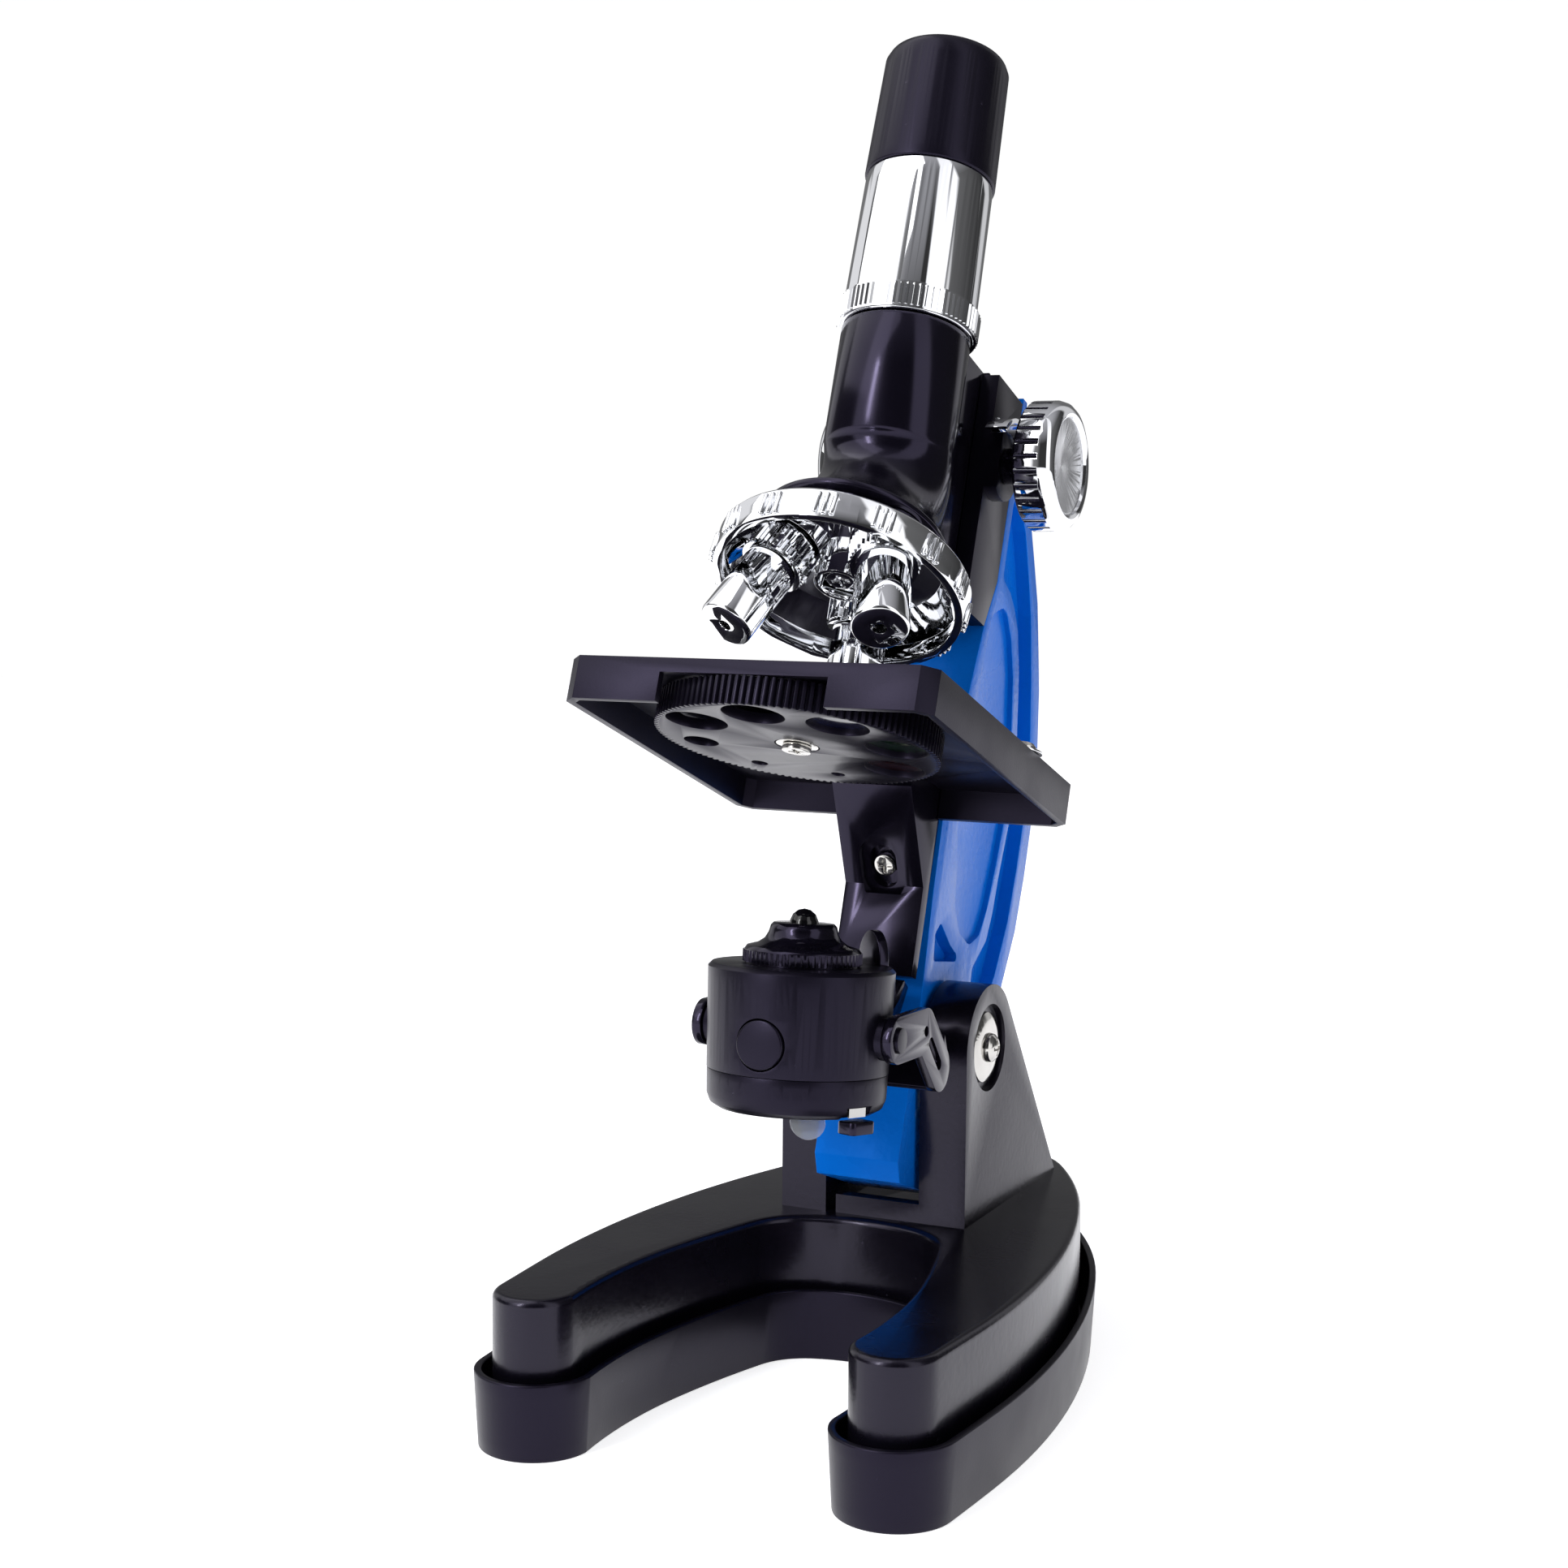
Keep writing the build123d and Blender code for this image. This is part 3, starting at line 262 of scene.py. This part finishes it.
# ---------------------------------------------------------------- slide clips
# Two bent spring strips, bright plated.
# Bright chrome on a polished base: a near mirror with very slight waviness.
chrome = surface("bright_chrome_plating", "#f3f4f6", "#e9eaed", metallic=1.0, rough=(0.025, 0.06), grain=0.012,
                 depth=0.000004)
for side in ("left", "right"):
    fit(softened("clip_" + side, 0.0001), chrome, "slide_clip_" + side, "clip_" + side)

# ---------------------------------------------------------------- focus housing
# Black guide block with a T-slot for the slide, round bosses for the shaft, and plated straps
# over them. It is drawn in the same satin black as the mouldings.
fit(softened("focus_housing", 0.0004, 2), satin_abs, "arm", "focus_housing")
fit(softened("tube_slide", 0.0004, 2), gloss_abs, "carriage", "tube_slide")
fit(softened("shaft_bushes", 0.0003, 2), gloss_abs, "arm", "shaft_bushes")
fit(softened("shaft_straps", 0.0002, 2), chrome, "arm", "shaft_straps")
# Cut brass keeps a fine tool grain and a warm, half-bright gloss.
brass = surface("machined_brass", "#c9a24e", "#b08a3c", metallic=1.0, rough=(0.2, 0.3), grain=0.0003,
                depth=0.00001)
repaint(brass, "focus_pinion", "focus_rack")
repaint(plated_steel, "focus_shaft", "housing_screws")

# ---------------------------------------------------------------- focus knobs
# Chrome-plated mouldings with a fluted rim and a dished, spun-ringed face.
# The plating shows the rings of the turned mould on the dished face, 0.45 mm from one to the next.
FACE_R = 0.0113         # radius of the dished face, inside the polished lip
RING_PITCH = 0.00045
spun_chrome = surface("chrome_on_spun_face", "#d9dadd", "#c9cacd", metallic=1.0, rough=(0.24, 0.3), grain=0.01,
                      depth=0.0)
spun_chrome.node_tree.nodes["Principled BSDF"].inputs["Anisotropic"].default_value = 0.9
rings_tree = spun_chrome.node_tree
shaft = (Vector(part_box("focus_knob_left")[0]) + Vector(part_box("focus_knob_left")[1])) / 2
spot = add(rings_tree, "ShaderNodeTexCoord").outputs["Object"]
centred = add(rings_tree, "ShaderNodeMapping", {"Location": (0, -shaft.y, -shaft.z)}, [(spot, "Vector")])
ring_pattern = {"wave_type": "RINGS", "rings_direction": "X", "Scale": 0.314 / RING_PITCH}
rings = add(rings_tree, "ShaderNodeTexWave", ring_pattern, [(centred.outputs["Vector"], "Vector")])
turned_relief = add(rings_tree, "ShaderNodeBump", {"Strength": 1.0, "Distance": 0.000006},
                    [(rings.outputs["Fac"], "Height")])
lay = add(rings_tree, "ShaderNodeTangent", {"direction_type": "RADIAL", "axis": "X"})
rings_tree.links.new(lay.outputs["Tangent"], rings_tree.nodes["Principled BSDF"].inputs["Tangent"])
rings_tree.links.new(turned_relief.outputs["Normal"], rings_tree.nodes["Principled BSDF"].inputs["Normal"])
for side in ("left", "right"):
    knob = softened("focus_knob_" + side, 0.0003, 2)
    fit(knob, chrome, "focus", "focus_knob_" + side)
    knob.data.materials.append(spun_chrome)
    for face in knob.data.polygons:
        from_shaft = Vector((0, face.center.y - shaft.y, face.center.z - shaft.z)).length
        face.material_index = 1 if from_shaft < FACE_R and abs(face.normal.x) > 0.8 else 0

# ---------------------------------------------------------------- body tube
# Moulded gloss black tube that flares forwards into the turret's tilted plate.
fit(softened("body_tube", 0.0004, 2, angle=50), gloss_abs, "carriage", "body_tube")

# ---------------------------------------------------------------- eyepiece
# Chrome tube with a knurled ring at its foot, and a black eyepiece head that holds the lenses.
fit(softened("draw_tube", 0.0002, 2), chrome, "eyepiece", "draw_tube")
fit(softened("knurled_ring", 0.0001, 1), chrome, "eyepiece", "knurled_ring")
fit(softened("eyepiece_cup", 0.0005, 3), satin_abs, "eyepiece", "eyepiece_cup")
# Polished optical glass: clear, with sharp reflections.
lens_glass = surface("polished_lens_glass", "#f4f8ff", "#eef4fb", rough=(0.0, 0.02), grain=0.01, depth=0.0)
lens_glass.node_tree.nodes["Principled BSDF"].inputs["Transmission Weight"].default_value = 1.0
repaint(lens_glass, "eye_lens", "field_lens", "objective_lenses")

# ---------------------------------------------------------------- turret
# Pressed and plated dish with ribs in threes round its rim, on a shoulder screw.
fit(softened("turret_disc", 0.0004, 2), chrome, "turret", "turret_disc")
fit(softened("turret_screw", 0.0001), chrome, "carriage", "turret_screw")
repaint(chrome, "turret_washer")
# Raised ribs stand in threes round the rim, with smooth plating between the groups.
RIM_R = 0.0276
RIB_R = 0.00055
RIB_LENGTH = 0.0052
RIB_MIDDLE = -0.0471    # from the point where the turret's axis meets the tube's
RIB_GROUPS = 14
RIB_STEP = 3.6          # degrees between the ribs of one group
turret_place = (Matrix.Translation((0, 0, 0.070)) @ Matrix.Rotation(radians(-20), 4, "X")
                @ Matrix.Translation((0, -0.0545, 0.1305)) @ Matrix.Rotation(radians(-17), 4, "X"))
rib_parts = []
for group in range(RIB_GROUPS):
    for slot in (-RIB_STEP, 0.0, RIB_STEP):
        bpy.ops.object.select_all(action="DESELECT")
        bpy.ops.mesh.primitive_cylinder_add(vertices=12, radius=RIB_R, depth=RIB_LENGTH,
                                            location=(RIM_R, 0, RIB_MIDDLE))
        rib = bpy.context.active_object
        bpy.ops.object.mode_set(mode="EDIT")
        bpy.ops.mesh.bevel(offset=0.0003, segments=3)
        bpy.ops.object.mode_set(mode="OBJECT")
        bpy.ops.object.transform_apply(location=True)
        turned = Matrix.Rotation(radians(group * 360 / RIB_GROUPS + slot), 4, "Z")
        rib.data.transform(turret_place @ turned)
        rib_parts.append(rib)
for rib in rib_parts:
    rib.select_set(True)
bpy.context.view_layer.objects.active = rib_parts[0]
bpy.ops.object.join()
ribs = bpy.context.active_object
ribs.name = "turret_rim_ribs"
bpy.ops.object.shade_smooth_by_angle(angle=radians(35))
ribs.data.materials.append(chrome)
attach(ribs, "turret")
repaint(plated_steel, "detent_ball", "detent_spring")

# ---------------------------------------------------------------- objectives
# Knurled collar and smooth barrel, both bright plated.
fit(softened("objective_collars", 0.0001, 1), chrome, "turret", "objective_collars")
for name in ("low", "high", "mid"):
    node = f"objective_{name}_barrel"
    fit(softened(node, 0.0004, 2), chrome, "turret", node)

# ---------------------------------------------------------------- lamp
# Satin black lamp can with a push button, a cap below, a stepped bezel with a dark dome on top.
fit(softened("lamp_body", 0.0004, 2), satin_abs, "lamp", "lamp_body")
fit(softened("lamp_cap", 0.0004, 2), satin_abs, "lamp", "lamp_cap")
fit(softened("lamp_button", 0.0004, 3), satin_abs, "button", "lamp_button")
fit(softened("lamp_bezel", 0.0001, 1), gloss_abs, "lamp", "lamp_bezel")
# A moulded half-round lug stands on the lamp's rim, behind the bezel and to its right.
LUG_R = 0.0046
LUG_RING = 0.0170       # distance of the lug from the lamp's axis
bpy.ops.object.select_all(action="DESELECT")
bpy.ops.mesh.primitive_cylinder_add(vertices=48, radius=LUG_R, depth=0.0022, rotation=(0, pi / 2, 0))
lug = bpy.context.active_object
lug.name = "lamp_rim_lug"
bpy.ops.object.transform_apply(rotation=True)
bpy.ops.object.mode_set(mode="EDIT")
bpy.ops.mesh.select_all(action="SELECT")
bpy.ops.mesh.bisect(plane_co=(0, 0, -0.0008), plane_no=(0, 0, 1), use_fill=True, clear_inner=True)
bpy.ops.object.mode_set(mode="OBJECT")
rim = lug.modifiers.new("rounded", "BEVEL")
rim.width = 0.0006
rim.segments = 3
bpy.ops.object.modifier_apply(modifier="rounded")
bpy.ops.object.shade_smooth_by_angle(angle=radians(35))
lamp_axis = Vector((0, -0.0535, 0.0812))
lug.data.transform(Matrix.Translation(lamp_axis) @ Matrix.Rotation(radians(-5), 4, "X")
                   @ Matrix.Rotation(radians(53), 4, "Z") @ Matrix.Translation((LUG_RING, 0, 0.0143))
                   @ Matrix.Scale(1.45, 4, (0, 0, 1)))
lug.data.materials.append(gloss_abs)
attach(lug, "lamp")
# Smoke-dark resin of the lamp's dome: glossy, almost black.
dome_resin = surface("dark_lamp_dome", "#0c0c10", "#08080a", rough=(0.02, 0.05), grain=0.01, depth=0.0)
fit(softened("lamp_led", 0.0), dome_resin, "lamp", "lamp_led")
fit(softened("lamp_yoke", 0.0004, 2), gloss_abs, "arm", "lamp_yoke")
fit(softened("lamp_switch", 0.0003, 2), gloss_abs, "switch", "lamp_switch")
# Silvered glass: a clean mirror.
silvered = surface("silvered_mirror_glass", "#eef0f0", "#e6e8e8", metallic=1.0, rough=(0.0, 0.02), grain=0.02,
                   depth=0.0)
repaint(silvered, "lamp_mirror")
repaint(plated_steel, "battery_contact", "coin_cells")
# Glass-fibre board under green lacquer: half gloss with a fine grain.
board = surface("glass_fibre_board", "#1f6b3a", "#195a30", rough=(0.35, 0.5), grain=0.0004)
repaint(board, "lamp_board")
# Thin clear film: glossy, almost colourless.
film = surface("clear_protective_film", "#f2f6fa", "#e9eef4", rough=(0.05, 0.15), grain=0.002, depth=0.00001)
film.node_tree.nodes["Principled BSDF"].inputs["Transmission Weight"].default_value = 0.8
film.node_tree.nodes["Principled BSDF"].inputs["Alpha"].default_value = 0.7
repaint(film, "mirror_film")

# ---------------------------------------------------------------- floor, light and camera
# A plain pale floor, a studio surround of soft banks of light with dark gaps between them, one
# large key light, one tall strip light, and the camera low in front of the open end of the base.
bpy.ops.object.select_all(action="DESELECT")
bpy.ops.mesh.primitive_circle_add(vertices=96, radius=3.0, fill_type="NGON", location=(0, 0, 0))
floor = bpy.context.active_object
floor.name = "studio_floor"
# Matt white paper that glows a little, so that it meets the background without an edge.
floor_paper = surface("white_paper_floor", "#f4f4f6", "#f0f0f3", rough=(0.7, 0.8), grain=0.002, depth=0.00001,
                      patch=0.2)
floor_shader = floor_paper.node_tree.nodes["Principled BSDF"]
floor_shader.inputs["Emission Color"].default_value = (1, 1, 1, 1)
floor_shader.inputs["Emission Strength"].default_value = 0.75
floor.data.materials.append(floor_paper)

world = bpy.data.worlds.new("studio")
bpy.context.scene.world = world
world.use_nodes = True
sky = world.node_tree
CAMERA_YAW = radians(25.36)
direction = add(sky, "ShaderNodeTexCoord").outputs["Generated"]
turn = add(sky, "ShaderNodeMapping", {"Rotation": (0, 0, -CAMERA_YAW + pi / 2)}, [(direction, "Vector")])
sweep = add(sky, "ShaderNodeTexGradient", {"gradient_type": "RADIAL"}, [(turn.outputs["Vector"], "Vector")])
banks = add(sky, "ShaderNodeValToRGB", (), [(sweep.outputs["Fac"], "Fac")])
# Directions round the object, in degrees clockwise from the camera, with how bright each is.
BANKS = [(-180, 0.2), (-150, 0.2), (-145, 0.9), (-125, 0.9), (-120, 0.1), (-71, 0.04), (-67, 1.7), (-36, 1.7),
         (-31, 0.25), (-15, 0.04), (26, 0.04), (31, 1.5), (58, 1.5), (64, 0.15), (95, 0.1), (122, 0.04),
         (127, 0.7), (140, 0.7), (146, 0.15), (180, 0.2)]
ramp = banks.color_ramp
while len(ramp.elements) > 1:
    ramp.elements.remove(ramp.elements[0])
for index, (angle, light) in enumerate(BANKS):
    position = (angle + 180) / 360
    stop = ramp.elements[0] if index == 0 else ramp.elements.new(position)
    stop.position = position
    stop.color = (light, light, light * 1.02, 1)
height = add(sky, "ShaderNodeSeparateXYZ", (), [(direction, "Vector")])
overhead = add(sky, "ShaderNodeMapRange", {"From Min": 0.6, "From Max": 1.0, "To Max": 0.6},
               [(height.outputs["Z"], "Value")])
round_and_over = add(sky, "ShaderNodeMix", {"data_type": "RGBA"}, [(overhead.outputs["Result"], "Factor")])
sky.links.new(banks.outputs["Color"], round_and_over.inputs[6])
round_and_over.inputs[7].default_value = (0.75, 0.75, 0.8, 1)
seen = add(sky, "ShaderNodeLightPath")
shown = add(sky, "ShaderNodeMix", {"data_type": "RGBA"}, [(seen.outputs["Is Camera Ray"], "Factor")])
sky.links.new(round_and_over.outputs[2], shown.inputs[6])
shown.inputs[7].default_value = (1.12, 1.12, 1.12, 1)
sky.links.new(shown.outputs[2], sky.nodes["Background"].inputs["Color"])
sky.nodes["Background"].inputs["Strength"].default_value = 0.9

bpy.ops.object.light_add(type="AREA", location=(-0.55, -0.35, 0.95))
key = bpy.context.active_object
key.data.energy = 6
key.data.size = 1.2
key.rotation_euler = (Vector((0, 0, 0.14)) - key.location).to_track_quat("-Z", "Y").to_euler()

bpy.ops.object.light_add(type="AREA", location=(-0.26, -0.76, 0.5))
strip = bpy.context.active_object
strip.data.shape = "RECTANGLE"
strip.data.size = 0.07
strip.data.size_y = 0.5
strip.data.energy = 2.2
strip.rotation_euler = (Vector((0, 0, 0.2)) - strip.location).to_track_quat("-Z", "Y").to_euler()

lens = bpy.data.cameras.new("camera")
lens.lens = 55.77
lens.sensor_width = 36
camera = bpy.data.objects.new("camera", lens)
bpy.context.scene.collection.objects.link(camera)
CAMERA_DOWN = radians(5.44)
CAMERA_ROLL = radians(0.47)
look = (Matrix.Rotation(CAMERA_YAW, 4, "Z") @ Matrix.Rotation(pi / 2 - CAMERA_DOWN, 4, "X")
        @ Matrix.Rotation(CAMERA_ROLL, 4, "Z"))
camera.matrix_world = Matrix.Translation((0.2094, -0.5036, 0.1798)) @ look
bpy.context.scene.camera = camera
bpy.context.scene.view_settings.view_transform = "Standard"

bpy.context.view_layer.update()
